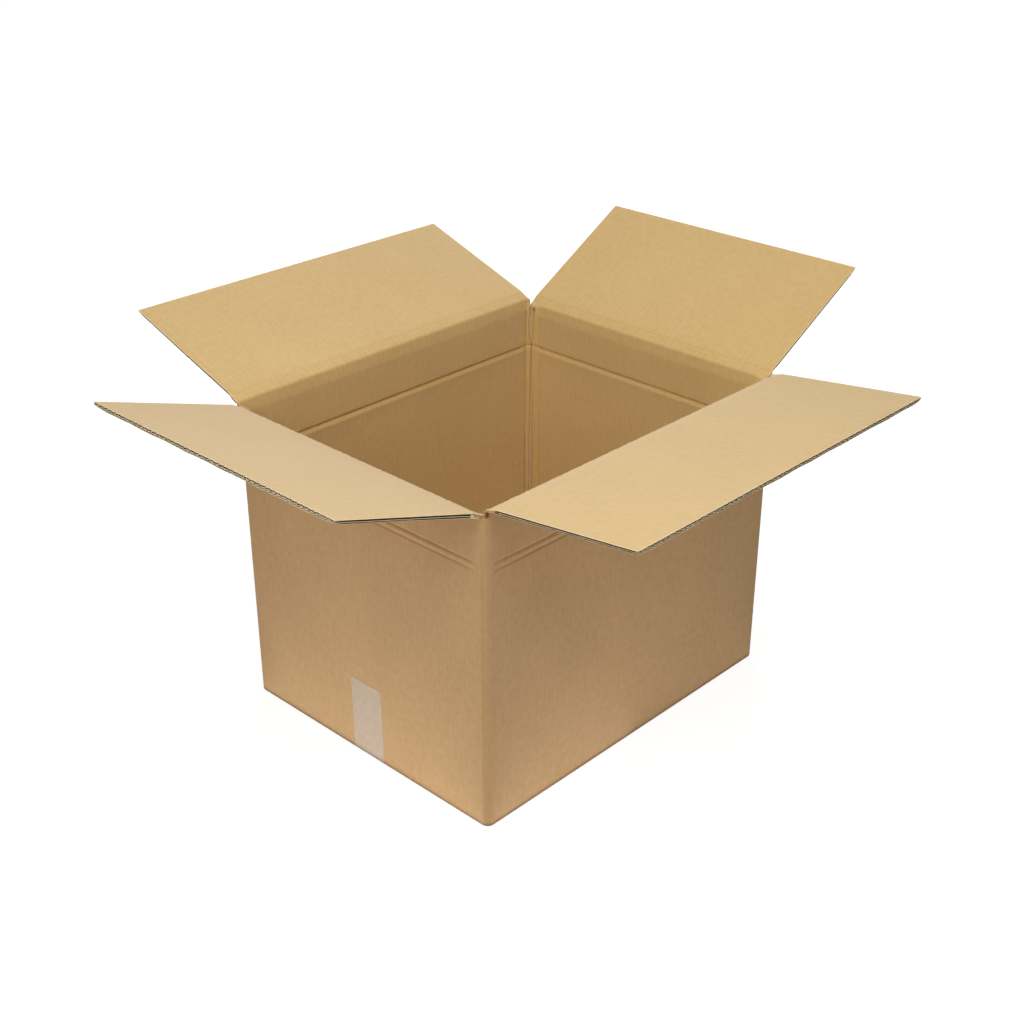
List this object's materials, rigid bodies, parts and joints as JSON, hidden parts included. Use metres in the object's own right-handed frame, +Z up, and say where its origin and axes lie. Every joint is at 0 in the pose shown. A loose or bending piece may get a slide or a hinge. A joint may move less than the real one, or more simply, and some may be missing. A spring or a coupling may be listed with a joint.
{
  "type": "open cardboard box",
  "caption": "Open slotted carton of double-wall corrugated board, with four hinged top flaps and a taped bottom.",
  "frame": {"origin": "middle of the base, on the surface that the box stands on", "axes": "+X along the box's length, +Y across its width to the back, +Z up out of the opening"},
  "size_m": [0.8269, 0.7622, 0.4731],
  "materials": {
    "kraft_outside": "matte",
    "kraft_inside": "matte",
    "tape": "satin"
  },
  "bodies": {
    "carton": {"carton": "kraft_outside", "bottom_tape": "tape"},
    "front_long_flap": {"front_long_flap": "kraft_inside"},
    "rear_long_flap": {"rear_long_flap": "kraft_inside"},
    "left_end_flap": {"left_end_flap": "kraft_inside"},
    "right_end_flap": {"right_end_flap": "kraft_inside"}
  },
  "joints": [
    {"name": "front_flap_crease", "type": "hinge", "parent": "carton", "child": "front_long_flap", "pos_m": [0, -0.196, 0.3806], "axis": [-1, 0, 0], "range_deg": [-92.7, 172.3]},
    {"name": "rear_flap_crease", "type": "hinge", "parent": "carton", "child": "rear_long_flap", "pos_m": [0, 0.196, 0.3806], "axis": [1, 0, 0], "range_deg": [-103, 162]},
    {"name": "left_flap_crease", "type": "hinge", "parent": "carton", "child": "left_end_flap", "pos_m": [-0.24, 0, 0.3743], "axis": [0, 1, 0], "range_deg": [-103.5, 161.5]},
    {"name": "right_flap_crease", "type": "hinge", "parent": "carton", "child": "right_end_flap", "pos_m": [0.24, 0, 0.3743], "axis": [0, -1, 0], "range_deg": [-114.4, 150.6]}
  ]
}
